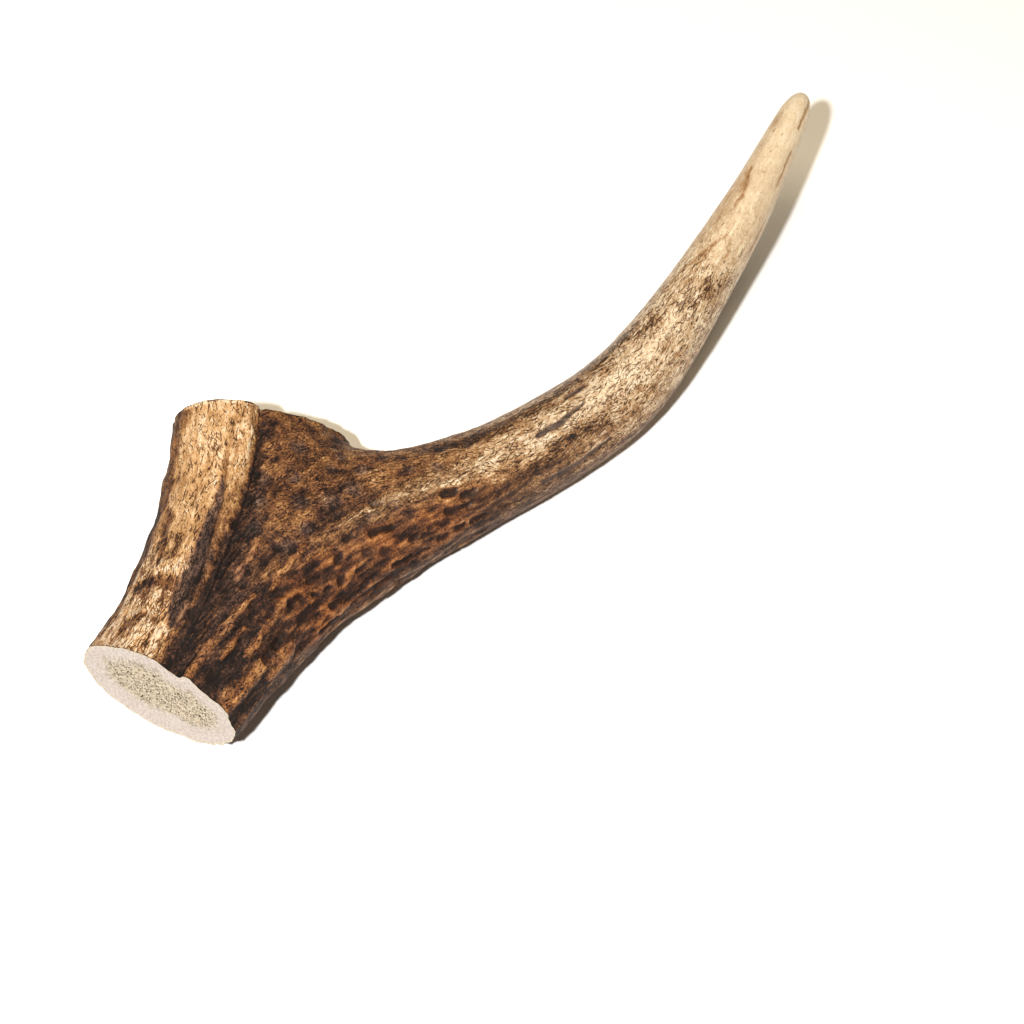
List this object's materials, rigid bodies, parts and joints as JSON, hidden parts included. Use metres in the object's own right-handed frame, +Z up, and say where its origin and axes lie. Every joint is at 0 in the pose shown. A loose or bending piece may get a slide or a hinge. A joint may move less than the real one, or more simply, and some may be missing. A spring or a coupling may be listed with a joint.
{
  "type": "deer antler",
  "caption": "Sawn length of deer antler: a thick grooved beam cut square at both ends and one smooth curved tine, lying on its side.",
  "frame": {"origin": "on the surface that the antler lies on, under the middle of its box", "axes": "+X from the lower saw cut towards the tip of the tine, +Y towards the upper saw cut, +Z up"},
  "size_m": [0.1691, 0.0594, 0.0306],
  "materials": {
    "dark_antler": "satin, stained dark brown in long grooves and pits, worn to tan on the ridges, with a cream porous saw cut",
    "pale_antler": "polished cream tip running to tan, with fine dark streaks and hairline cracks"
  },
  "bodies": {
    "root": {"beam": "dark_antler", "tine": "pale_antler"}
  },
  "joints": []
}
